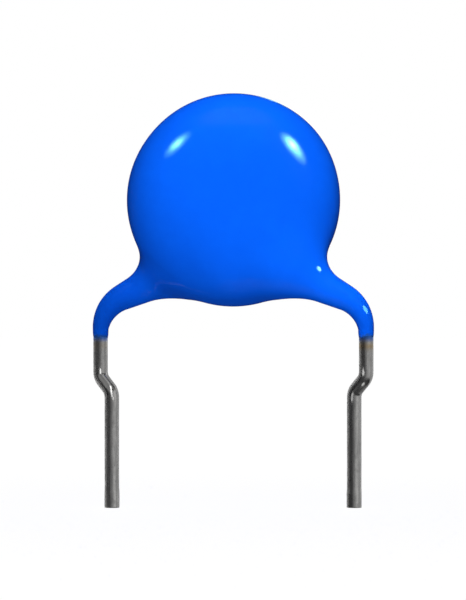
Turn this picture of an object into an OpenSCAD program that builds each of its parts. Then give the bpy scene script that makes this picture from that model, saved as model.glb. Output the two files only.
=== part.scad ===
// Ceramic disc capacitor, dipped in epoxy, with two kinked leads for a board.
//
// X runs across the two leads, Y through the thickness with the front at -Y,
// and Z is up. The origin is midway between the leads, on the board's top face,
// where the kinks stop. The right lead is soldered to the front of the ceramic
// disc and the left lead to its back, so the part looks the same when it is
// turned half a turn about Z.

/* [Coating] */
// Outside diameter of the coated body
coat_d = 8.8; // [8.7:0.1:9.2]
// Thickness of the coated body
coat_t = 3.8; // [3.7:0.1:4.2]
// Height of the middle of the body above the board
body_z = 8.15; // [8.05:0.05:8.25]
// How softly the body flows into its two legs
flow = 1.45; // [1.35:0.05:1.55]
// Height above the board at which the coating on the legs ends
coat_end_z = 2.35; // [2.2:0.05:2.5]

/* [Coated legs] */
// Thickness of the coating over the wire where the legs end
leg_film = 0.025; // [0.02:0.005:0.04]
// Height above the board at which the legs begin to bend towards the body
leg_bend_z = 2.7; // [2.65:0.05:2.75]
// Bend radius of the legs' middle line
leg_bend_r = 1.6; // [1.55:0.05:1.65]
// Angle of the legs' slope from upright
leg_slope = 64; // [63:0.5:65]
// How fast the legs thicken towards the body
leg_taper = 0.125; // [0.115:0.005:0.135]

/* [Ceramic element] */
// Diameter of the ceramic disc
ceramic_d = 7.4; // [6.8:0.1:7.5]
// Thickness of the ceramic disc
ceramic_t = 1.6; // [1.4:0.1:1.7]
// Chamfer on the rims of the ceramic disc
ceramic_chamfer = 0.12; // [0.05:0.01:0.2]
// Bare margin between each electrode and the rim of the ceramic
electrode_margin = 0.5; // [0.4:0.05:0.6]
// Thickness of each silver electrode
electrode_t = 0.05; // [0.03:0.01:0.06]

/* [Solder] */
// Radius of the solder mound over each wire
solder_r = 0.7; // [0.68:0.01:0.72]
// Length of the solder mound between the centres of its round ends
solder_len = 1.6; // [1.2:0.1:1.7]
// Film of solder between the wire and the electrode
solder_film = 0.02; // [0.02:0.01:0.04]

/* [Leads] */
// Distance between the leads where they enter the board
lead_pitch = 10; // [9.9:0.1:10.1]
// Diameter of the wire
lead_d = 0.6; // [0.5:0.05:0.6]
// Length of each lead below the board's top face
lead_below = 4.55; // [3:0.05:30]
// How far each kink shifts its lead sideways, away from the other lead
kink_x = 0.48; // [0.45:0.01:0.5]
// How far each kink shifts its lead through the thickness
kink_y = 0.55; // [0.5:0.05:0.6]
// Bend radius in the kinks, to the middle of the wire
kink_r = 0.5; // [0.45:0.05:0.55]
// Angle of the slope in the kinks
kink_angle = 50; // [45:1:52]

/* [Hidden] */
$fn = 64;

coat_r = coat_d / 2;
wire_r = lead_d / 2;
// Where the wires run above the board, beside the kinks' upper ends
leg_x = lead_pitch / 2 + kink_x;
leg_y = kink_y;
// Surface of the electrodes, and the wire's axis above it
face_y = ceramic_t / 2 + electrode_t;
wire_y = face_y + solder_film + wire_r;

// The kink: an S of two bends with a straight between them
kink_shift = norm([kink_x, kink_y]);
kink_run = (kink_shift - 2 * kink_r * (1 - cos(kink_angle))) / sin(kink_angle);
kink_h = 2 * kink_r * sin(kink_angle) + kink_run * cos(kink_angle);
kink_heading = atan2(-kink_y, kink_x);

// The shoulder: the wire bends over towards the body, and leans forward a little
shoulder_z = 2.75;
shoulder_r = 1.4;
shoulder_angle = 54;
shoulder_lean = 15;
// The wire then eases parallel to the face of the disc
ease_r = 1;
lean = asin(sin(shoulder_angle) * sin(shoulder_lean));
slope_run = (wire_y - leg_y - ease_r * (1 - cos(lean))
             - shoulder_r * (1 - cos(shoulder_angle)) * sin(shoulder_lean)) / sin(lean);
// Length of wire lying along the face, and where the solder starts on it
tail = 3.7;
solder_from = 1.8;

// Direction of the slope, and the same direction laid flat on the face
slope_dir = [-sin(shoulder_angle) * cos(shoulder_lean),
             -sin(shoulder_angle) * sin(shoulder_lean), cos(shoulder_angle)];
tail_dir = [slope_dir.x, 0, slope_dir.z] / norm([slope_dir.x, slope_dir.z]);
// Corner points of the wire's axis, right lead
shoulder_end = [leg_x - shoulder_r * (1 - cos(shoulder_angle)) * cos(shoulder_lean),
                -leg_y - shoulder_r * (1 - cos(shoulder_angle)) * sin(shoulder_lean),
                shoulder_z + shoulder_r * sin(shoulder_angle)];
slope_end = shoulder_end + slope_run * slope_dir;
tail_start = [slope_end.x + ease_r * sin(lean) * tail_dir.x, -wire_y,
              slope_end.z + ease_r * sin(lean) * tail_dir.z];

// ---- the wire, followed from its cut end upwards ----

// Vector v turned by a about Z, and about Y
function turn_z(v, a) = [v.x * cos(a) - v.y * sin(a), v.x * sin(a) + v.y * cos(a), v.z];
function turn_y(v, a) = [v.x * cos(a) + v.z * sin(a), v.y, v.z * cos(a) - v.x * sin(a)];
// Heading in the wire's own frame, after the shoulder, that lays it flat on the face
ease_local = turn_z(turn_y(turn_z(tail_dir, -(180 + shoulder_lean)), -shoulder_angle),
                    180 + shoulder_lean);
ease_heading = atan2(ease_local.y, ease_local.x);

// The straights run this far into the bends at their ends, and the bends are fuller
// by this little, so the wire is one solid with no seam between them
lap = 0.04;
swell = 0.003;

// A straight of wire, with the rest of the wire at its end
module straight(len, from = lap) {
    translate([0, 0, -from]) cylinder(r = wire_r, h = len + from + lap);
    translate([0, 0, len]) children();
}

// A bend of radius r through angle a towards heading h, with the rest at its end
module bend(r, a, h) {
    rotate(h) {
        translate([r, 0, 0]) mirror([1, 0, 0]) rotate([90, 0, 0])
            rotate_extrude(angle = a) translate([r, 0]) circle(r = wire_r + swell);
        translate([r * (1 - cos(a)), 0, r * sin(a)]) rotate([0, a, 0]) rotate(-h) children();
    }
}

module wire() {
    translate([lead_pitch / 2, 0, -lead_below])
        straight(lead_below, 0)
        bend(kink_r, kink_angle, kink_heading)
        straight(kink_run)
        bend(kink_r, kink_angle, kink_heading + 180)
        straight(shoulder_z - kink_h)
        bend(shoulder_r, shoulder_angle, 180 + shoulder_lean)
        straight(slope_run)
        bend(ease_r, lean, ease_heading)
        straight(tail);
}

// ---- the solder mound over the wire's flat run ----

// A round-ended bar along the wire, centred on the electrode's face
module bar() {
    from = tail_start + solder_from * tail_dir;
    translate([from.x, -face_y, from.z]) rotate([0, -acos(tail_dir.z), 0]) {
        cylinder(r = solder_r, h = solder_len);
        sphere(r = solder_r);
        translate([0, 0, solder_len]) sphere(r = solder_r);
    }
}

// The half of the bar that stands on the electrode, round the wire
module mound() {
    difference() {
        intersection() {
            bar();
            translate([-5, -face_y - 2, 0]) cube([10, 2, 12]);
        }
        wire();
    }
}

// ---- the coating ----

// The coating is where two soft shapes flow together: a domed disc, and a leg that
// follows the wire. Each shape is a field that is below zero inside it, in about
// millimetres, and the surface is where the blend of the two is zero.

// The leg's middle line goes up beside the wire, bends over and slopes into the body.
// From its bend on it leans forward, thickens, and flattens against the face of the disc.
leg_r = wire_r + leg_film;
leg_foot = 0.7;      // length of the upright part, some of it below the coating's end
leg_run = 2.4;       // length of the slope
leg_lean = 0.45;     // how far forward the root stands
leg_flat = 0.28;     // how much flatter the root is
leg_arc = leg_bend_r * leg_slope * PI / 180;

function soft_step(t) = let (u = min(1, max(0, t))) u * u * (3 - 2 * u);

// [x, y, z, radius, flatness] of the leg, at s past the start of its bend
function leg_at(s) =
    let (a = min(leg_arc, max(0, s)) / leg_bend_r * 180 / PI,
         slope = max(0, s - leg_arc), w = soft_step(s / (leg_arc + leg_run)))
    [leg_x - leg_bend_r * (1 - cos(a)) - slope * sin(leg_slope),
     -leg_y - leg_lean * w,
     leg_bend_z + min(0, s) + leg_bend_r * sin(a) + slope * cos(leg_slope),
     leg_r + leg_taper * max(0, s),
     1 - leg_flat * w];

LEG = [for (k = [0 : 1]) leg_at(-leg_foot * (1 - k / 2)),
       for (k = [0 : 5]) leg_at(leg_arc * k / 5),
       for (k = [1 : 3]) leg_at(leg_arc + leg_run * k / 3)];

function body_field(p) =
    let (q = (p.x * p.x + (p.z - body_z) * (p.z - body_z)) / (coat_r * coat_r),
         h = 2 * p.y / coat_t)
    pow(q, 1.8) + h * h - 1;

function reach(p, a, b) =
    let (ab = [b.x - a.x, b.y - a.y, b.z - a.z], ap = [p.x - a.x, p.y - a.y, p.z - a.z],
         t = min(1, max(0, ap * ab / (ab * ab))), d = ap - t * ab)
    norm([d.x, d.y / (a[4] + t * (b[4] - a[4])), d.z]) - (a[3] + t * (b[3] - a[3]));

function leg_field(p) = min([for (i = [0 : len(LEG) - 2]) reach(p, LEG[i], LEG[i + 1])]);

function blend(a, b, k) =
    let (h = min(1, max(0, 0.5 + 0.5 * (b - a) / k))) b + (a - b) * h - k * h * (1 - h);

function field(p) = blend(body_field(p), leg_field(p), flow);

// Distance from c along d to the surface, by halving the interval
function edge(c, d, lo = 0, hi = 6, n = 16) =
    n == 0 ? (lo + hi) / 2
    : let (m = (lo + hi) / 2)
      field(c + m * d) > 0 ? edge(c, d, lo, m, n - 1) : edge(c, d, m, hi, n - 1);

// Ribs of the skin over the right half. Those over the body and the leg's root:
// [rib number, x, y, z of its hub, angle of its upper spoke, angle of its lower spoke]
BODY_RIBS = [[0, 0, 0, body_z, 90, -90],
             [3, 0.3, 0, body_z, 66, -90],
             [6, 0.7, 0, body_z - 0.1, 38, -91],
             [9, 1.2, 0, body_z - 0.45, 10, -92],
             [12, 1.9, -0.1, 7.1, -10, -95],
             [15, 2.6, -0.35, 6.15, -10, -101],
             [18, 3.1, -0.6, 5.45, 10, -109],
             [21, 3.6, -0.8, 4.85, 38, -121]];
// Those along the leg: [rib number, place along the leg, angles of its two spokes]
LEG_RIBS = [[24, 2.2, 50, -130], [27, 1.6, 50, -131], [30, 1, 34, -146],
            [33, 0.55, 14, -166], [35, 0.2, 3, -177], [37, -0.1, 0, -180],
            [38, coat_end_z - leg_bend_z, 0, -180]];
RIBS = concat(BODY_RIBS, [for (r = LEG_RIBS)
    let (p = leg_at(r[1])) [r[0], p[0], p[1], p[2], r[2], r[3]]]);
LAST = 38;
// Points round a rib
ROUND = 28;

function column(i, k) = lookup(i, [for (r = RIBS) [r[0], r[k]]]);

// One rib: a closed ring of points, from the upper spoke round by the front
function rib(i) =
    let (hub = [column(i, 1), column(i, 2), column(i, 3)], up = column(i, 4), dn = column(i, 5),
         u = [cos(up), 0, sin(up)], v = [cos(dn), 0, sin(dn)],
         top = edge(hub, u), bottom = edge(hub, v),
         front = edge(hub, [0, -1, 0]), back = edge(hub, [0, 1, 0]))
    [for (j = [0 : ROUND - 1])
        let (a = 360 * j / ROUND, c = cos(a), s = sin(a),
             d = (c >= 0 ? top * c * u : -bottom * c * v)
                 + [0, s >= 0 ? -front * s : -back * s, 0],
             w = d / norm(d))
        hub + edge(hub, w) * w];

// Half a turn about Z gives the left half from the right half
function turned(r) = [for (j = [0 : ROUND - 1])
    let (p = r[(ROUND - j) % ROUND]) [-p.x, -p.y, p.z]];

module skin() {
    right = [for (i = [0 : LAST]) rib(i)];
    rings = concat([for (i = [LAST : -1 : 1]) turned(right[i])], right);
    n = len(rings);
    points = [for (r = rings) for (p = r) p];
    sides = [for (i = [0 : n - 2]) for (j = [0 : ROUND - 1])
        let (a = i * ROUND + j, b = i * ROUND + (j + 1) % ROUND)
        each [[a, b + ROUND, b], [a, a + ROUND, b + ROUND]]];
    ends = [[for (j = [0 : ROUND - 1]) j], [for (j = [ROUND - 1 : -1 : 0]) (n - 1) * ROUND + j]];
    polyhedron(points = points, faces = concat(sides, ends), convexity = 6);
}

// ---- the pieces ----

// The room that the coated pieces fill on one side
module core() {
    translate([0, 0, body_z]) rotate([90, 0, 0])
        cylinder(r = ceramic_d / 2 - electrode_margin, h = face_y);
    bar();
    wire();
}

module epoxy_coating() {
    color([0.03, 0.39, 1.0]) difference() {
        skin();
        ceramic_form();
        core();
        rotate(180) core();
    }
}

module ceramic_form() {
    r = ceramic_d / 2;
    h = ceramic_t / 2;
    c = ceramic_chamfer;
    translate([0, 0, body_z]) rotate([90, 0, 0]) rotate_extrude()
        polygon([[0, -h], [r - c, -h], [r, c - h], [r, h - c], [r - c, h], [0, h]]);
}

module ceramic_disc() {
    color([0.78, 0.70, 0.58]) ceramic_form();
}

module electrode() {
    translate([0, -ceramic_t / 2, body_z]) rotate([90, 0, 0])
        cylinder(r = ceramic_d / 2 - electrode_margin, h = electrode_t);
}

module front_electrode() {
    color([0.83, 0.82, 0.80]) electrode();
}

module rear_electrode() {
    color([0.83, 0.82, 0.80]) rotate(180) electrode();
}

module front_solder() {
    color([0.66, 0.67, 0.69]) mound();
}

module rear_solder() {
    color([0.66, 0.67, 0.69]) rotate(180) mound();
}

module right_lead() {
    color([0.62, 0.62, 0.61]) wire();
}

module left_lead() {
    color([0.62, 0.62, 0.61]) rotate(180) wire();
}

epoxy_coating();
ceramic_disc();
front_electrode();
rear_electrode();
front_solder();
rear_solder();
left_lead();
right_lead();
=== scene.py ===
"""Looks for the ceramic disc capacitor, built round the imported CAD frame.

The coating and the two leads are rebuilt here as fine meshes that stand for their
CAD nodes. The ceramic, its electrodes and the solder stay as the CAD has them and
get materials. Lengths in the functions below are in millimetres until a mesh is made.
"""

import math

import bpy
import numpy as np
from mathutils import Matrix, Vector


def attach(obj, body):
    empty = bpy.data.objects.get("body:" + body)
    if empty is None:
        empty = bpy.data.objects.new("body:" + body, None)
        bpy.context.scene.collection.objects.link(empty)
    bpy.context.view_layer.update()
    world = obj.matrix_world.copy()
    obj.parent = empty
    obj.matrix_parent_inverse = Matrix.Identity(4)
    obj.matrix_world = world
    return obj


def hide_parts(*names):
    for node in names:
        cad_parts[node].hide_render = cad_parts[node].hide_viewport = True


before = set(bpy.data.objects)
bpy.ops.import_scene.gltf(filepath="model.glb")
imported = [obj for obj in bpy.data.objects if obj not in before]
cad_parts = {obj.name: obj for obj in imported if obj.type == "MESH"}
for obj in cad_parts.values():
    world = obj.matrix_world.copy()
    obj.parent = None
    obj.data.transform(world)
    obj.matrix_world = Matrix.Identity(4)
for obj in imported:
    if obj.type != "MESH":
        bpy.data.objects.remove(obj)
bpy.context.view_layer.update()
MM = 0.001


# ---------------------------------------------------------------- small helpers


def soft_step(t):
    t = np.clip(t, 0.0, 1.0)
    return t * t * (3 - 2 * t)


def unit(v):
    v = np.asarray(v, float)
    return v / np.linalg.norm(v)


def mesh_object(name, verts_mm, faces, body="root"):
    """A smooth-shaded mesh object from points in mm, riding on a body."""
    me = bpy.data.meshes.new(name)
    me.from_pydata((np.asarray(verts_mm) * MM).tolist(), [], [list(map(int, f)) for f in faces])
    me.validate()
    me.polygons.foreach_set("use_smooth", [True] * len(me.polygons))
    me.update()
    ob = bpy.data.objects.new(name, me)
    bpy.context.scene.collection.objects.link(ob)
    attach(ob, body)
    return ob


def put_attribute(ob, name, kind, values):
    """Stores one value (FLOAT) or one vector (FLOAT_VECTOR) a point."""
    a = ob.data.attributes.new(name, kind, "POINT")
    key = "value" if kind == "FLOAT" else "vector"
    a.data.foreach_set(key, np.asarray(values, np.float32).ravel())


# ---------------------------------------------------------------- the coating

BODY_Z, BODY_R, HALF_T = 8.15, 4.4, 1.9
LEG_X, LEG_Y = 5.48, 0.55
COAT_END = 2.35
WIRE_R = 0.30

LEG_R, LEG_BEND_Z, LEG_BEND_R = 0.325, 2.7, 1.6
LEG_SLOPE, LEG_RUN, LEG_FOOT = math.radians(64), 2.4, 0.7
LEG_TAPER, LEG_LEAN, LEG_FLAT = 0.125, 0.45, 0.28
LEG_ARC = LEG_BEND_R * LEG_SLOPE
FLOW = 1.45
# The faces roll off to the rim unevenly, as dipped ones do: how much fuller (above 0) or
# softer (below 0) they are low down in the middle, then on the side where the leg stands
# proud, all over and low down, and then the same on the side where it lies back
ROLL_MID, ROLL_NEAR, ROLL_NEAR_LOW, ROLL_FAR, ROLL_FAR_LOW = 0.44, 0.36, -0.66, 0.08, -1.2
# On the side where the leg lies back: how much fuller it is through the thickness where it
# meets the body, and how much further the body flows into it
FULL_FAR, FLOW_FAR = 0.2, -0.2


def leg_at(s):
    """[x, y, z, radius, flatness, nearness to the body] of the right leg, at s past the
    start of its bend."""
    s = np.asarray(s, float)
    a = np.clip(s, 0, LEG_ARC) / LEG_BEND_R
    slope = np.maximum(0, s - LEG_ARC)
    w = soft_step(s / (LEG_ARC + LEG_RUN))
    # The film is thinner at the leg's end than the CAD's solid can be
    thin = 0.013 * (1 - soft_step((s - 0.3) / 0.9))
    return np.stack(
        [
            LEG_X - LEG_BEND_R * (1 - np.cos(a)) - slope * math.sin(LEG_SLOPE),
            -LEG_Y - LEG_LEAN * w,
            LEG_BEND_Z + np.minimum(0, s) + LEG_BEND_R * np.sin(a) + slope * math.cos(LEG_SLOPE),
            LEG_R + LEG_TAPER * np.maximum(0, s) - thin,
            1 - LEG_FLAT * w,
            w,
        ],
        axis=-1,
    )


def leg_place(x, z):
    """How far past the start of its bend the leg's middle line is nearest."""
    cx = LEG_X - LEG_BEND_R
    angle = np.arctan2(z - LEG_BEND_Z, x - cx)
    ex, ez = cx + LEG_BEND_R * math.cos(LEG_SLOPE), LEG_BEND_Z + LEG_BEND_R * math.sin(LEG_SLOPE)
    past = LEG_ARC + (z - ez) * math.cos(LEG_SLOPE) - (x - ex) * math.sin(LEG_SLOPE)
    s = np.where(angle < 0, z - LEG_BEND_Z, np.where(angle > LEG_SLOPE, past, LEG_BEND_R * angle))
    return np.clip(s, -LEG_FOOT, LEG_ARC + LEG_RUN)


def field(p):
    """Below zero inside the coating, for points with x >= 0."""
    x, y, z = p[:, 0], p[:, 1], p[:, 2]
    q = (x * x + (z - BODY_Z) ** 2) / BODY_R**2
    back = 0.5 + 0.5 * np.tanh(y / 0.6)
    low = soft_step((BODY_Z + 1.0 - z) / 4.5)
    roll = (1 - back) * (ROLL_NEAR + ROLL_NEAR_LOW * low) + back * (ROLL_FAR + ROLL_FAR_LOW * low)
    body = q ** (1.8 + ROLL_MID * low + roll * soft_step(x / 2.2)) + (y / HALF_T) ** 2 - 1
    m = leg_at(leg_place(x, z))
    aside = y - m[:, 1]
    full = 1 + m[:, 5] * FULL_FAR * soft_step((aside - 0.2) / 1.4)
    leg = np.sqrt((x - m[:, 0]) ** 2 + (aside / (m[:, 4] * full)) ** 2 + (z - m[:, 2]) ** 2) - m[:, 3]
    flow = FLOW + back * FLOW_FAR
    h = np.clip(0.5 + 0.5 * (leg - body) / flow, 0, 1)
    return leg + (body - leg) * h - flow * h * (1 - h)


def edge(hub, direction, reach=6.0, steps=24):
    """Distance from each hub along each direction to the surface."""
    lo, hi = np.zeros(len(hub)), np.full(len(hub), reach)
    for _ in range(steps):
        mid = (lo + hi) / 2
        outside = field(hub + mid[:, None] * direction) > 0
        hi = np.where(outside, mid, hi)
        lo = np.where(outside, lo, mid)
    return (lo + hi) / 2


BODY_RIBS = [[0, 0, 0, BODY_Z, 90, -90], [3, 0.3, 0, BODY_Z, 66, -90],
             [6, 0.7, 0, BODY_Z - 0.1, 38, -91], [9, 1.2, 0, BODY_Z - 0.45, 10, -92],
             [12, 1.9, -0.1, 7.1, -10, -95], [15, 2.6, -0.35, 6.15, -10, -101],
             [18, 3.1, -0.6, 5.45, 10, -109], [21, 3.6, -0.8, 4.85, 38, -121]]
LEG_RIBS = [[24, 2.2, 50, -130], [27, 1.6, 50, -131], [30, 1.0, 34, -146],
            [33, 0.55, 14, -166], [35, 0.2, 3, -177], [37, -0.1, 0, -180],
            [38, COAT_END - LEG_BEND_Z, 0, -180]]


def coating_rings(per_rib, around):
    """Closed rings of points over the right half, from the middle to the leg's end."""
    table = [list(map(float, r)) for r in BODY_RIBS]
    for n, s, up, dn in LEG_RIBS:
        p = leg_at(s)
        table.append([n, p[0], p[1], p[2], up, dn])
    table = np.array(table)
    n = 38 * per_rib + 1
    at = np.linspace(0, 38, n)
    cols = np.stack([np.interp(at, table[:, 0], table[:, k]) for k in range(1, 6)], 1)
    # Rounds off the table's corners, so that the mesh flows evenly
    width = 2 * per_rib + 1
    pad = np.pad(cols, ((width, width), (0, 0)), mode="reflect", reflect_type="odd")
    kernel = np.hanning(width + 2)[1:-1]
    kernel /= kernel.sum()
    soft = np.stack([np.convolve(pad[:, k], kernel, "same") for k in range(5)], 1)[width:-width]
    soft[0], soft[-1] = cols[0], cols[-1]
    hub = np.repeat(soft[:, :3], around, 0)
    up, dn = np.radians(np.repeat(soft[:, 3], around)), np.radians(np.repeat(soft[:, 4], around))
    zero = np.zeros_like(up)
    u = np.stack([np.cos(up), zero, np.sin(up)], 1)
    v = np.stack([np.cos(dn), zero, np.sin(dn)], 1)
    front = np.tile([0.0, -1.0, 0.0], (len(hub), 1))

    def four(direction):
        one = edge(hub[::around], direction[::around])
        return np.repeat(one, around)

    top, bottom, fore, back = four(u), four(v), four(front), four(-front)
    a = np.tile(2 * math.pi * np.arange(around) / around, n)
    c, s = np.cos(a), np.sin(a)
    d = np.where((c >= 0)[:, None], (top * c)[:, None] * u, (-bottom * c)[:, None] * v)
    d[:, 1] += np.where(s >= 0, -fore * s, -back * s)
    d /= np.linalg.norm(d, axis=1, keepdims=True)
    return (hub + edge(hub, d)[:, None] * d).reshape(n, around, 3), soft


def ragged(theta, seed):
    """A closed, slightly irregular line: the height of the coating's end round a wire."""
    rng = np.random.default_rng(seed)
    out = np.zeros_like(theta)
    for k, size in ((1, 0.022), (2, 0.016), (3, 0.011), (5, 0.006), (8, 0.003)):
        out += size * np.cos(k * theta + rng.uniform(0, 2 * math.pi))
    return out


def half_of_coating(per_rib, around, seed):
    """Rings of the right half with the coating's end finished on the wire, and how
    near each point is to that end: 1 at the last edge, 0 from 0.25 mm up."""
    rings, _ = coating_rings(per_rib, around)
    # Rings of the leg's foot above the end, where it starts to draw in to the wire
    keep = [r for r in rings if r[:, 2].min() > COAT_END + 0.42]
    last = keep[-1]
    axis = np.array([LEG_X, -LEG_Y])
    theta = np.arctan2(last[:, 1] - axis[1], last[:, 0] - axis[0])
    gap = np.linalg.norm(last[:, :2] - axis, axis=1) - WIRE_R
    end_z = COAT_END + 0.13 + ragged(theta, seed)
    out = list(keep)
    steps = 14
    for k in range(1, steps + 1):
        t = k / steps
        z = last[:, 2] + (end_z - last[:, 2]) * t
        r = WIRE_R - 0.002 + (gap + 0.002) * (1 - t**2.4)
        out.append(np.stack([axis[0] + r * np.cos(theta), axis[1] + r * np.sin(theta), z], 1))
    # Turned in along the wire, out of sight, and closed
    for k in range(1, 7):
        z = end_z + (COAT_END + 0.5 - end_z) * k / 6
        r = WIRE_R - 0.002 - 0.012 * k / 6
        out.append(np.stack([axis[0] + r * np.cos(theta), axis[1] + r * np.sin(theta), z], 1))
    out = np.array(out)
    end_of = np.zeros(out.shape[:2])
    visible = len(keep) + steps
    end_of[:visible] = np.clip(1 - (out[:visible, :, 2] - end_z) / 0.22, 0, 1)
    end_of[visible:] = 1
    return out, end_of


def coating_points(per_rib, around):
    """The coating's rings of points from the left leg's end to the right one's."""
    right, end_r = half_of_coating(per_rib, around, 11)
    left, end_l = half_of_coating(per_rib, around, 4)
    # Half a turn about Z makes the left half; its rings run back to front
    order = (-np.arange(around)) % around
    left = left[:, order] * np.array([-1, -1, 1])
    end_l = end_l[:, order]
    rings = np.concatenate([left[:0:-1], right])
    ends = np.concatenate([end_l[:0:-1], end_r])
    # A dipped coating isn't a perfect form: a slow, very shallow unevenness
    p = rings.reshape(-1, 3)
    z = p[:, 2]
    aside = 0.020 * soft_step((z - 5.2) / 1.5) + 0.040 * np.exp(-(((z - 11.3) / 1.6) ** 2))
    p = p + np.stack([aside, 0 * z, 0 * z], 1)
    wave = (np.sin(1.9 * p[:, 0] + 0.7 + 0.8 * np.sin(0.9 * p[:, 2])) * np.sin(1.6 * p[:, 2] - 0.4)
            + 0.6 * np.sin(3.1 * p[:, 0] - 1.3 * p[:, 2] + 1.1)) * 0.006
    p[:, 1] += wave * soft_step((p[:, 2] - 3.0) / 1.5) * np.sign(p[:, 1]) * np.clip(np.abs(p[:, 1]) / 0.8, 0, 1)
    p[:, 1] = np.clip(p[:, 1], -HALF_T, HALF_T)
    return p, ends


def make_coating():
    per_rib, around = ((5, 192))
    p, ends = coating_points(per_rib, around)
    n = len(ends)
    faces = []
    j = np.arange(around)
    k = (j + 1) % around
    for i in range(n - 1):
        a, b = i * around, (i + 1) * around
        faces.append(np.stack([a + j, a + k, b + k, b + j], 1))
    faces = np.concatenate(faces).tolist()
    faces.append(list(range(around - 1, -1, -1)))
    faces.append(list(range((n - 1) * around, n * around)))
    ob = mesh_object("epoxy_coat", p, faces)
    put_attribute(ob, "coat_end", "FLOAT", ends.ravel())
    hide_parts("epoxy_coating")
    return ob


# ---------------------------------------------------------------- the leads


def turn(axis, angle):
    """Rotation matrix about a unit axis."""
    x, y, z = axis
    c, s = math.cos(angle), math.sin(angle)
    k = np.array([[0, -z, y], [z, 0, -x], [-y, x, 0]])
    return np.eye(3) + s * k + (1 - c) * k @ k


class Wire:
    """Follows the wire's axis from its cut end: points, tangents and a steady side."""

    def __init__(self, start):
        self.p = np.array(start, float)
        self.frame = np.eye(3)  # columns: side, across, forward
        self.points, self.frames = [self.p.copy()], [self.frame.copy()]

    def straight(self, length, step):
        n = max(1, int(round(length / step)))
        t = self.frame[:, 2]
        for i in range(1, n + 1):
            self.points.append(self.p + t * length * i / n)
            self.frames.append(self.frame.copy())
        self.p = self.p + t * length

    def bend(self, radius, angle, heading, step):
        n = max(2, int(round(radius * angle / step)))
        towards = self.frame @ np.array([math.cos(heading), math.sin(heading), 0])
        forward = self.frame[:, 2].copy()
        axis = np.cross(forward, towards)
        centre = self.p + radius * towards
        start, base = self.p.copy(), self.frame.copy()
        for i in range(1, n + 1):
            m = turn(axis, angle * i / n)
            self.points.append(centre + m @ (start - centre))
            self.frames.append(m @ base)
        self.p, self.frame = self.points[-1].copy(), self.frames[-1].copy()


PITCH, BELOW = 10.0, 4.55
KINK_X, KINK_Y, KINK_R, KINK_A = 0.48, 0.55, 0.50, math.radians(50)
SHOULDER_Z, SHOULDER_R = 2.75, 1.4
SHOULDER_A, SHOULDER_LEAN = math.radians(54), math.radians(15)
EASE_R, TAIL = 1.0, 3.7
WIRE_Y = 1.6 / 2 + 0.05 + 0.02 + WIRE_R


def wire_path(step):
    shift = math.hypot(KINK_X, KINK_Y)
    run = (shift - 2 * KINK_R * (1 - math.cos(KINK_A))) / math.sin(KINK_A)
    height = 2 * KINK_R * math.sin(KINK_A) + run * math.cos(KINK_A)
    heading = math.atan2(-KINK_Y, KINK_X)
    lean = math.asin(math.sin(SHOULDER_A) * math.sin(SHOULDER_LEAN))
    slope = (WIRE_Y - KINK_Y - EASE_R * (1 - math.cos(lean))
             - SHOULDER_R * (1 - math.cos(SHOULDER_A)) * math.sin(SHOULDER_LEAN)) / math.sin(lean)
    w = Wire([PITCH / 2, 0, -BELOW])
    w.straight(BELOW, step)
    w.bend(KINK_R, KINK_A, heading, step / 2)
    w.straight(run, step / 2)
    w.bend(KINK_R, KINK_A, heading + math.pi, step / 2)
    w.straight(SHOULDER_Z - height, step)
    w.bend(SHOULDER_R, SHOULDER_A, math.pi + SHOULDER_LEAN, step * 2)
    w.straight(slope, step * 6)
    flat = w.frame.T @ unit([w.frame[0, 2], 0, w.frame[2, 2]])
    w.bend(EASE_R, lean, math.atan2(flat[1], flat[0]), step * 2)
    w.straight(TAIL, step * 12)
    return np.array(w.points), np.array(w.frames)


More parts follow.
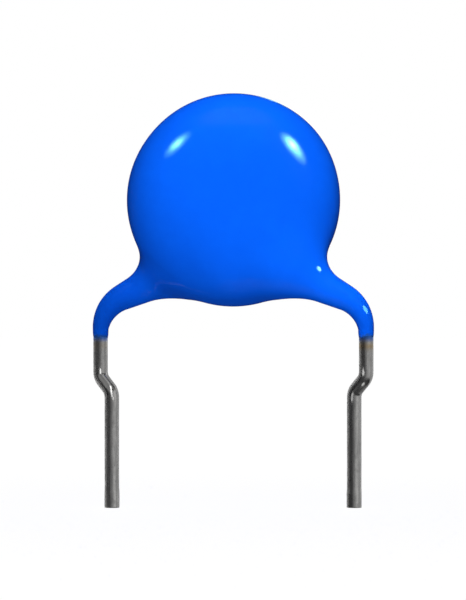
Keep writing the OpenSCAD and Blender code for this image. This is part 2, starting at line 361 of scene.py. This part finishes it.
def make_lead(name, side, seed):
    """side 1 is the right lead; the left one is half a turn about Z from it."""
    step, around = ((0.04, 64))
    points, frames = wire_path(step)
    rng = np.random.default_rng(seed)
    length = np.concatenate([[0], np.cumsum(np.linalg.norm(np.diff(points, axis=0), axis=1))])
    a = 2 * math.pi * np.arange(around) / around
    phase = rng.uniform(0, 2 * math.pi, 12)
    rings = []
    for p, f, s in zip(points, frames, length):
        r = np.full(around, WIRE_R)
        # The last 0.6 mm carries a thicker skin of tin, with a ragged, drawn-out shoulder
        dip = 0.60 + 0.05 * np.cos(a + phase[0]) + 0.03 * np.cos(3 * a + phase[5])
        swell = 0.014 + 0.006 * np.cos(a - 3.3) + 0.003 * np.cos(2 * a + phase[6])
        r += swell * (1 - soft_step((s - dip) / 0.22)) * (1 - 0.4 * math.exp(-s / 0.02))
        # Hardly visible unevenness of the tin along the wire
        r += 0.0022 * np.sin(3 * a + 1.7 * s + phase[1]) * math.sin(2.3 * s + phase[2])
        r += 0.0015 * np.sin(5 * a - 2.9 * s + phase[3]) * math.sin(5.1 * s + phase[4])
        out = p + (f[:, 0][None] * np.cos(a)[:, None] + f[:, 1][None] * np.sin(a)[:, None]) * r[:, None]
        rings.append(out)
    rings = np.array(rings)
    # The cut: a little round-over at the edge, then a flat, slightly dished face
    centre, f = points[0], frames[0]
    first = rings[0]
    caps = []
    for k, (share, lift) in enumerate(((0.30, 0.004), (0.62, 0.002), (0.90, 0.0), (0.975, 0.004))):
        caps.append(centre + (first - centre) * share + f[:, 2] * lift)
    rings[0] = first + f[:, 2] * 0.014
    # The top end, inside the coating
    top_centre = points[-1]
    rings = np.concatenate([np.array(caps), rings])
    s_all = np.concatenate([[0] * len(caps), length])
    n = len(rings)
    verts = rings.reshape(-1, 3)
    co = np.zeros((n, around, 3))
    for i in range(n):
        co[i, :, 0], co[i, :, 1], co[i, :, 2] = np.cos(a) * WIRE_R, np.sin(a) * WIRE_R, s_all[i]
    j = np.arange(around)
    k = (j + 1) % around
    faces = np.concatenate([np.stack([i * around + j, i * around + k, (i + 1) * around + k,
                                      (i + 1) * around + j], 1) for i in range(n - 1)]).tolist()
    # Both ends close on a middle point
    bottom, top = len(verts), len(verts) + 1
    verts = np.concatenate([verts, [centre + f[:, 2] * 0.004, top_centre]])
    co = np.concatenate([co.reshape(-1, 3), [[0, 0, 0], [0, 0, length[-1]]]])
    faces += [[bottom, int(y), int(x)] for x, y in zip(j, k)]
    faces += [[top, int((n - 1) * around + x), int((n - 1) * around + y)] for x, y in zip(j, k)]
    if side < 0:
        verts = verts * np.array([-1, -1, 1])
    ob = mesh_object(name + "_wire", verts, faces)
    put_attribute(ob, "wire_co", "FLOAT_VECTOR", co)
    # A last, see-through film of the coating runs on down the wire, flux and heat have
    # browned the metal just below it, one lead more than the other, and the tool that made
    # the kink has rubbed it smooth
    put_attribute(ob, "film", "FLOAT", soft_step((verts[:, 2] - COAT_END + 0.11) / 0.26))
    put_attribute(ob, "burnished", "FLOAT", np.exp(-(((verts[:, 2] - 0.55) / 0.75) ** 4)))
    put_attribute(ob, "browned", "FLOAT", (1.0 if side > 0 else 0.35) * np.exp(-(((verts[:, 2] - 2.12) / 0.13) ** 2)))
    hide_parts(name)
    return ob


# ---------------------------------------------------------------- materials


class Nodes:
    """Short calls for a material's nodes."""

    def __init__(self, name):
        self.material = bpy.data.materials.new(name)
        self.material.use_nodes = True
        self.tree = self.material.node_tree
        self.tree.nodes.clear()
        self.out = self.tree.nodes.new("ShaderNodeOutputMaterial")
        self.shader = self.tree.nodes.new("ShaderNodeBsdfPrincipled")
        self.link(self.shader.outputs["BSDF"], self.out.inputs["Surface"])

    def link(self, a, b):
        self.tree.links.new(a, b)

    def node(self, kind, **settings):
        n = self.tree.nodes.new(kind)
        for k, v in settings.items():
            setattr(n, k, v)
        return n

    def put(self, socket, value):
        if isinstance(value, bpy.types.NodeSocket):
            self.link(value, socket)
        elif value is not None:
            socket.default_value = value

    def place(self, scale=(1000, 1000, 1000), attribute=None, offset=(0, 0, 0)):
        """Position in mm on the object, or a stored position in mm, stretched by scale."""
        if attribute:
            source = self.node("ShaderNodeAttribute", attribute_name=attribute).outputs["Vector"]
        else:
            source = self.node("ShaderNodeTexCoord").outputs["Object"]
        m = self.node("ShaderNodeMapping")
        self.link(source, m.inputs["Vector"])
        m.inputs["Scale"].default_value = scale
        m.inputs["Location"].default_value = offset
        return m.outputs["Vector"]

    def noise(self, vector, scale, detail=3.0, rough=0.5, distortion=0.0):
        n = self.node("ShaderNodeTexNoise")
        self.link(vector, n.inputs["Vector"])
        n.inputs["Scale"].default_value = scale
        n.inputs["Detail"].default_value = detail
        n.inputs["Roughness"].default_value = rough
        n.inputs["Distortion"].default_value = distortion
        return n.outputs["Fac"]

    def voronoi(self, vector, scale, feature="F1"):
        n = self.node("ShaderNodeTexVoronoi", feature=feature)
        self.link(vector, n.inputs["Vector"])
        n.inputs["Scale"].default_value = scale
        return n.outputs["Distance"]

    def between(self, value, lo, hi, to_lo=0.0, to_hi=1.0, smooth=False):
        n = self.node("ShaderNodeMapRange", interpolation_type="SMOOTHSTEP" if smooth else "LINEAR")
        self.put(n.inputs["Value"], value)
        for key, v in (("From Min", lo), ("From Max", hi), ("To Min", to_lo), ("To Max", to_hi)):
            n.inputs[key].default_value = v
        return n.outputs["Result"]

    def math(self, op, a, b=None, c=None):
        n = self.node("ShaderNodeMath", operation=op)
        for socket, v in zip(n.inputs, (a, b, c)):
            self.put(socket, v)
        return n.outputs["Value"]

    def mix(self, fac, a, b, blend="MIX"):
        n = self.node("ShaderNodeMix", data_type="RGBA", blend_type=blend)
        self.put(n.inputs["Factor"], fac)
        self.put(n.inputs["A"], a)
        self.put(n.inputs["B"], b)
        return n.outputs["Result"]

    def attribute(self, name):
        return self.node("ShaderNodeAttribute", attribute_name=name).outputs["Fac"]

    def split(self, vector):
        n = self.node("ShaderNodeSeparateXYZ")
        self.link(vector, n.inputs["Vector"])
        return n.outputs

    def bump(self, height, distance, strength=1.0, normal=None):
        n = self.node("ShaderNodeBump")
        n.inputs["Distance"].default_value = distance
        n.inputs["Strength"].default_value = strength
        self.link(height, n.inputs["Height"])
        if normal is not None:
            self.link(normal, n.inputs["Normal"])
        return n.outputs["Normal"]

    def set(self, **values):
        names = {"color": "Base Color", "rough": "Roughness", "metal": "Metallic", "ior": "IOR",
                 "normal": "Normal", "specular": "Specular IOR Level", "coat": "Coat Weight",
                 "coat_rough": "Coat Roughness"}
        for key, v in values.items():
            self.put(self.shader.inputs[names[key]], v)
        return self.material


def rgb(r, g, b):
    return (r, g, b, 1.0)


def epoxy_material():
    m = Nodes("dipped_blue_epoxy")
    mm = m.place()
    slow = m.noise(mm, 0.45, 2.0)
    cloud = m.noise(mm, 2.2, 4.0, 0.55)
    speck = m.noise(mm, 26.0, 2.0, 0.6)
    base = m.mix(m.between(slow, 0.3, 0.7), rgb(0.0016, 0.113, 0.90), rgb(0.0020, 0.124, 0.95))
    base = m.mix(m.between(cloud, 0.35, 0.75, 0.0, 0.5), base, rgb(0.0015, 0.106, 0.88))
    base = m.mix(m.between(speck, 0.66, 0.78, 0.0, 0.35), base, rgb(0.003, 0.16, 1.0))
    # Where the film thins out over the wire the metal greys it
    end = m.attribute("coat_end")
    ragged_end = m.math("ADD", end, m.between(m.noise(mm, 9.0, 3.0), 0.3, 0.7, -0.22, 0.22))
    thin = m.between(ragged_end, 0.35, 1.0, 0.0, 1.0, smooth=True)
    base = m.mix(thin, base, rgb(0.020, 0.105, 0.42))
    rough = m.between(cloud, 0.3, 0.7, 0.065, 0.085)
    rough = m.math("ADD", rough, m.math("MULTIPLY", thin, 0.12))
    peel = m.noise(mm, 1.6, 2.0, 0.4)
    fine = m.noise(mm, 9.0, 2.0, 0.5)
    normal = m.bump(peel, 0.0000040)
    normal = m.bump(fine, 0.0000004, normal=normal)
    return m.set(color=base, rough=rough, ior=1.5, normal=normal)


def wire_material():
    m = Nodes("tinned_steel_wire")
    drawn = m.noise(m.place((9.0, 9.0, 0.5), "wire_co"), 1.0, 4.0, 0.6)
    fine = m.noise(m.place((26.0, 26.0, 1.8), "wire_co"), 1.0, 3.0, 0.6)
    patch = m.noise(m.place((3.0, 3.0, 2.2), "wire_co"), 1.0, 4.0, 0.6, 0.4)
    grain = m.noise(m.place((14.0, 14.0, 11.0), "wire_co"), 1.0, 3.0, 0.65)
    pits = m.voronoi(m.place((9.0, 9.0, 6.0), "wire_co"), 1.0)
    base = m.mix(m.between(drawn, 0.32, 0.68), rgb(0.40, 0.40, 0.395), rgb(0.66, 0.655, 0.64))
    base = m.mix(m.between(patch, 0.42, 0.66, 0.0, 0.65), base, rgb(0.40, 0.395, 0.385))
    base = m.mix(m.between(grain, 0.56, 0.72, 0.0, 0.55), base, rgb(0.25, 0.245, 0.24))
    # Flux and heat leave a brown tint just below the coating
    tint = m.math("MULTIPLY", m.attribute("browned"), m.between(patch, 0.3, 0.6, 0.5, 1.0))
    base = m.mix(tint, base, m.mix(1.0, base, rgb(1.0, 0.80, 0.52), "MULTIPLY"))
    # The blue film thins out down the wire, unevenly, and lets the metal show
    film = m.math("ADD", m.attribute("film"), m.between(grain, 0.3, 0.7, -0.10, 0.10))
    film = m.between(film, 0.05, 1.0)
    base = m.mix(film, base, rgb(0.035, 0.19, 0.72))
    metal = m.between(film, 0.0, 1.0, 1.0, 0.25)
    rough = m.between(grain, 0.3, 0.7, 0.20, 0.36)
    rough = m.math("ADD", rough, m.between(patch, 0.4, 0.7, 0.0, 0.10))
    height = m.math("ADD", m.math("MULTIPLY", drawn, 0.7), m.math("MULTIPLY", fine, 0.3))
    burnished = m.attribute("burnished")
    calm = m.between(burnished, 0.0, 1.0, 1.0, 0.3)
    rough = m.math("MULTIPLY", rough, m.between(burnished, 0.0, 1.0, 1.0, 0.8))
    normal = m.bump(m.math("MULTIPLY", height, calm), 0.0000060)
    pitted = m.math("MULTIPLY", m.between(pits, 0.0, 0.35, 0.0, 1.0, smooth=True), calm)
    normal = m.bump(pitted, 0.0000022, normal=normal)
    normal = m.bump(m.math("MULTIPLY", grain, calm), 0.0000020, normal=normal)
    return m.set(color=base, rough=rough, metal=metal, normal=normal)


def ceramic_material():
    m = Nodes("sintered_ceramic")
    mm = m.place()
    grain = m.noise(mm, 24.0, 5.0, 0.65)
    cloud = m.noise(mm, 1.3, 3.0)
    cells = m.voronoi(mm, 34.0)
    base = m.mix(m.between(cloud, 0.3, 0.7), rgb(0.56, 0.44, 0.29), rgb(0.64, 0.52, 0.36))
    base = m.mix(m.between(grain, 0.45, 0.75, 0.0, 0.5), base, rgb(0.42, 0.33, 0.22))
    rough = m.between(grain, 0.3, 0.7, 0.62, 0.82)
    normal = m.bump(cells, 0.0000040)
    normal = m.bump(grain, 0.0000050, normal=normal)
    return m.set(color=base, rough=rough, normal=normal)


def silver_material():
    m = Nodes("fired_silver_film")
    mm = m.place()
    grain = m.noise(mm, 30.0, 4.0, 0.7)
    screen = m.voronoi(mm, 16.0)
    base = m.mix(m.between(grain, 0.35, 0.7), rgb(0.66, 0.64, 0.60), rgb(0.86, 0.85, 0.82))
    rough = m.between(grain, 0.3, 0.7, 0.34, 0.52)
    normal = m.bump(screen, 0.0000030)
    normal = m.bump(grain, 0.0000025, normal=normal)
    return m.set(color=base, rough=rough, metal=1.0, normal=normal)


def solder_material():
    m = Nodes("flowed_solder")
    mm = m.place()
    flow = m.noise(mm, 2.4, 3.0, 0.5, 0.6)
    crystals = m.voronoi(mm, 7.0)
    grain = m.noise(mm, 40.0, 2.0)
    base = m.mix(m.between(flow, 0.35, 0.7), rgb(0.52, 0.53, 0.55), rgb(0.74, 0.74, 0.75))
    base = m.mix(m.between(crystals, 0.0, 0.25, 0.5, 0.0), base, rgb(0.40, 0.40, 0.41))
    rough = m.between(flow, 0.3, 0.7, 0.18, 0.34)
    normal = m.bump(flow, 0.0000200)
    normal = m.bump(grain, 0.0000010, normal=normal)
    return m.set(color=base, rough=rough, metal=1.0, normal=normal)


def floor_material():
    m = Nodes("white_table")
    mm = m.place()
    cloud = m.noise(mm, 0.03, 2.0)
    base = m.mix(m.between(cloud, 0.3, 0.7), rgb(0.88, 0.88, 0.88), rgb(0.90, 0.90, 0.90))
    # The paper glows evenly white to its far edge. Near the object its glow is a shade weaker: a faint painted shadow
    # where the object's shadow would fall
    far = m.node("ShaderNodeVectorMath", operation="LENGTH")
    m.link(mm, far.inputs[0])
    m.shader.inputs["Emission Color"].default_value = rgb(1, 1, 1)
    # painted shade: the glow is weaker within about 60 mm of the object
    m.put(m.shader.inputs["Emission Strength"], m.between(far.outputs["Value"], 4, 60, 0.975, 1.0, smooth=True))
    return m.set(color=base, rough=0.9, specular=0.0)


# ---------------------------------------------------------------- the object

coat = make_coating()
right_lead = make_lead("right_lead", 1, 21)
left_lead = make_lead("left_lead", -1, 8)


def dress(ob, material):
    ob.data.materials.clear()
    ob.data.materials.append(material)


tin, silver, solder = wire_material(), silver_material(), solder_material()
dress(coat, epoxy_material())
dress(right_lead, tin)
dress(left_lead, tin)
dress(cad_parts["ceramic_disc"], ceramic_material())
for node in ("front_electrode", "rear_electrode"):
    dress(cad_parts[node], silver)
for node in ("front_solder", "rear_solder"):
    dress(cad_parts[node], solder)
# The bright wires mirror the room, not the coating
coat.visible_glossy = False


# ---------------------------------------------------------------- the studio

scene = bpy.context.scene
scene.view_settings.view_transform = "Standard"

FOCUS = Vector((0, 0, 0.00402))


def lamp(name, direction, away, size, power, glossy=True, diffuse=True, only=None, oblong=None,
         color=(1, 1, 1)):
    """An area light in a direction from the object, facing it. power is what it gives a
    white face turned to it, where 1 is as bright as the paper behind."""
    data = bpy.data.lights.new(name, "AREA")
    if oblong:
        data.shape, data.size, data.size_y = "RECTANGLE", oblong[0], oblong[1]
    else:
        data.shape, data.size = "DISK", size
    data.energy = power * math.pi**2 * away**2
    data.color = color
    ob = bpy.data.objects.new(name, data)
    scene.collection.objects.link(ob)
    d = Vector(direction).normalized()
    ob.location = FOCUS + d * away
    ob.rotation_mode = "QUATERNION"
    ob.rotation_quaternion = d.to_track_quat("Z", "Y")
    ob.visible_camera = False
    ob.visible_glossy = glossy
    ob.visible_diffuse = diffuse
    if only:
        group = bpy.data.collections.new(name + "_lights")
        for o in only:
            group.objects.link(o)
        ob.light_linking.receiver_collection = group
    return ob


def azimuth(degrees, lift=0.0):
    """Direction at an angle to the right of the camera, seen from the object."""
    a = math.radians(degrees)
    return (math.sin(a), -math.cos(a), lift)


def board(name, degrees, wide, value, lift=0.0, tall=0.50, only=None):
    """A grey board that only the bare wires mirror: value is how light it looks."""
    away = 0.35
    lamp(name, azimuth(degrees, lift), away, 0, wide * value * tall / (math.pi * away**2),
         oblong=(wide, tall), only=only or [right_lead, left_lead])


def beam(name, direction, aim, radius, power, away=0.30):
    """A small, soft-edged spot lamp that adds shade and no reflection to the coating, on a
    round patch about a point in mm."""
    data = bpy.data.lights.new(name, "SPOT")
    data.shadow_soft_size = 0.0015
    data.energy = power * 4 * math.pi**2 * away**2
    data.spot_size, data.spot_blend = 2 * math.atan(radius * MM / away), 0.6
    ob = spot(name, data, direction, aim, away)
    ob.visible_glossy = False
    return ob


def spot(name, data, direction, aim, away, only=None):
    ob = bpy.data.objects.new(name, data)
    scene.collection.objects.link(ob)
    d = Vector(direction).normalized()
    ob.location = Vector(aim) * MM + d * away
    ob.rotation_mode = "QUATERNION"
    ob.rotation_quaternion = d.to_track_quat("Z", "Y")
    ob.visible_camera = False
    group = bpy.data.collections.new(name + "_lights")
    group.objects.link(only or coat)
    ob.light_linking.receiver_collection = group
    return ob


def glow(name, at, direction, away, cone, layers, only=None):
    """Bright balls in front of a point of the surface, seen only as its highlight. away is
    in mm; each layer is the angle that a ball spans, in degrees from the middle, and how
    bright it looks in red and in green and blue. The narrower ones stand nearer."""
    for k, (angle, red, rest) in enumerate(layers):
        data = bpy.data.lights.new(f"{name}_{k}", "SPOT")
        near = away * (1 - 0.5 * k / len(layers)) * MM
        data.shadow_soft_size = near * math.tan(math.radians(angle))
        data.color = (red / rest, 1, 1)
        data.energy = rest * 4 * math.pi**2 * data.shadow_soft_size**2
        data.spot_size, data.spot_blend = 2 * math.radians(cone), 0.3
        ob = spot(f"{name}_{k}", data, direction, at, near, only)
        ob.visible_diffuse = False


def soft_layers(red, red_spread, rest, spread, count=8):
    """A soft bright spot, white in the middle and bluer round it, from the outside in."""
    step = 2.3 * spread / count
    bell = lambda r, s: math.exp(-0.5 * (r / s) ** 2)
    return [(k * step, red * bell((k - 0.5) * step, red_spread), rest * bell((k - 0.5) * step, spread))
            for k in range(count, 0, -1)]


# What shows as the highlights on the coating
glow("key_right", (2.46, -1.62, 10.35), (0.525, -0.698, 0.487), 11, 21, soft_layers(6.0, 7.4, 20, 7.2))
glow("key_left", (-2.29, -1.56, 10.43), (-0.543, -0.636, 0.551), 11, 17, soft_layers(3.0, 5.5, 9.5, 5.8))
glow("dot_neck", (3.52, -1.43, 5.31), (0.875, -0.418, 0.244), 0.3, 45, [(21, 8, 20)])
glow("dot_leg", (5.43, -0.96, 3.63), (0.881, -0.448, 0.152), 0.5, 40, [(27, 3.4, 12)])
glow("key_back", (-1.8, 1.6, 10.6), (0.304, 0.886, 0.344), 11, 15, soft_layers(15, 4.4, 24, 5.0))
# Broad soft light that leaves no reflection, and two soft spots on the face and the near leg
lamp("soft_front", (0.6, -1.0, 0.6), 0.40, 0.30, 0.160, glossy=False, only=[coat])
lamp("soft_top", (0.0, -0.5, 1.0), 0.40, 0.30, 0.680, glossy=False, only=[coat])
lamp("soft_low", (0.0, -0.5, -1.0), 0.40, 0.30, 0.452, glossy=False, only=[coat])
lamp("soft_left", (-1.0, 0.4, 0.0), 0.40, 0.30, 0.212, glossy=False, only=[coat])
lamp("soft_right", (1.0, 0.6, -0.1), 0.40, 0.30, 0.085, glossy=False, only=[coat])
lamp("soft_back", (0.1, 1.0, 0.30), 0.40, 0.30, 0.75, glossy=False, only=[coat])
beam("face_spot", (0.0, -1.0, 0.6), (1.6, -1.5, 8.0), 7.2, 0.682)
beam("top_spot", (0.0, -1.0, 0.6), (-0.4, -1.0, 11.6), 3.6, 0.071)
beam("leg_spot", (0.0, -1.0, 0.0), (4.4, -1.0, 4.7), 2.8, 0.222)
# What the bare wires mirror: grey boards all round, dark ones to the left of the camera
for at, value in ((-150, 0.95), (-120, 0.75), (-45, 0.03), (-30, 0.05), (-15, 0.18), (0, 0.25),
                  (15, 0.38), (30, 0.50), (45, 0.60), (60, 0.58), (75, 0.40), (90, 0.42), (105, 0.52),
                  (122, 0.62), (140, 0.80)):
    board(f"board_{at + 180}", at, 0.092, value)
# On the left the boards stop at the height of the one kink that would mirror them
for at, value in ((-90, 0.44), (-60, 0.13)):
    board(f"board_{at + 180}_left", at, 0.092, value, lift=-0.33, tall=0.27, only=[left_lead])
    board(f"board_{at + 180}_right", at, 0.092, value, lift=0.33, tall=0.27, only=[right_lead])
board("board_back", 185, 0.42, 0.30)
board("board_low_back", 205, 0.95, 0.24, lift=-1.3)
board("board_roof_back", 205, 0.95, 0.16, lift=1.5)
board("board_roof_left", -50, 0.55, 0.32, lift=1.6, tall=0.50, only=[left_lead])
board("board_roof_right", 110, 0.50, 0.28, lift=2.2, tall=0.50, only=[left_lead])
board("board_above", -12, 0.34, 0.30, lift=1.25, tall=0.16, only=[right_lead])
board("board_floor", -30, 0.70, 0.05, lift=-1.8, tall=0.70)
# Small lamps, which the kinks mirror as highlights: a spot and a streak on the left, three on the right
for lead, away, cone, glints in (
        (left_lead, 0.3, 36, (((-5.485, 0.25, 1.10), (-0.02, -1.00, 0.00), 15, 2.3),
                              ((-5.04, -0.19, 0.44), (0.10, -0.54, 0.84), 17, 2.2),
                              ((-5.03, -0.235, 0.35), (0.12, -0.68, 0.72), 17, 2.3),
                              ((-5.03, -0.26, 0.26), (0.08, -0.84, 0.53), 17, 2.3),
                              ((-5.015, -0.28, 0.17), (0.06, -0.94, 0.31), 17, 1.9),
                              ((-4.985, -0.295, 0.08), (0.14, -0.98, 0.12), 15, 1.4),
                              ((-4.935, -0.29, -0.02), (0.38, -0.92, 0.00), 14, 1.0))),
        (right_lead, 0.5, 32, (((5.35, -0.81, 1.05), (-0.72, -0.68, -0.14), 22, 1.1),
                               ((5.36, -0.69, 0.57), (-0.15, -0.36, -0.92), 20, 0.8),
                               ((4.91, -0.28, 0.04), (-0.56, -0.82, -0.08), 20, 0.8)))):
    side = "left" if lead is left_lead else "right"
    for k, (at, direction, angle, value) in enumerate(glints):
        glow(f"glint_{side}_{k}", at, direction, away, cone, [(angle, value, value)], lead)

# The paper behind: white to the camera, dim to everything else
world = bpy.data.worlds.new("paper")
scene.world = world
world.use_nodes = True
tree = world.node_tree
tree.nodes.clear()
out = tree.nodes.new("ShaderNodeOutputWorld")
mix = tree.nodes.new("ShaderNodeMixShader")
ray = tree.nodes.new("ShaderNodeLightPath")
dim = tree.nodes.new("ShaderNodeBackground")
white = tree.nodes.new("ShaderNodeBackground")
dim.inputs["Color"].default_value = rgb(0.010, 0.010, 0.012)
white.inputs["Color"].default_value = rgb(1, 1, 1)
tree.links.new(ray.outputs["Is Camera Ray"], mix.inputs["Fac"])
tree.links.new(dim.outputs[0], mix.inputs[1])
tree.links.new(white.outputs[0], mix.inputs[2])
tree.links.new(mix.outputs[0], out.inputs["Surface"])

# The table: a wide disc under the cut ends
ring = [(0.9 * math.cos(2 * math.pi * i / 96), 0.9 * math.sin(2 * math.pi * i / 96), -0.00455) for i in range(96)]
me = bpy.data.meshes.new("table")
me.from_pydata(ring, [], [list(range(96))])
table = bpy.data.objects.new("table", me)
scene.collection.objects.link(table)
table.data.materials.append(floor_material())
table.visible_diffuse = False
table.visible_glossy = False
table.visible_shadow = False

# The camera: level, square on, from far off
cam = bpy.data.objects.new("camera", bpy.data.cameras.new("camera"))
scene.collection.objects.link(cam)
cam.data.lens, cam.data.sensor_width = 300, 36
cam.location = (0, -0.0247525 * 300 / 36, 0.0040223)
cam.rotation_euler = (math.pi / 2, 0, 0)
scene.camera = cam
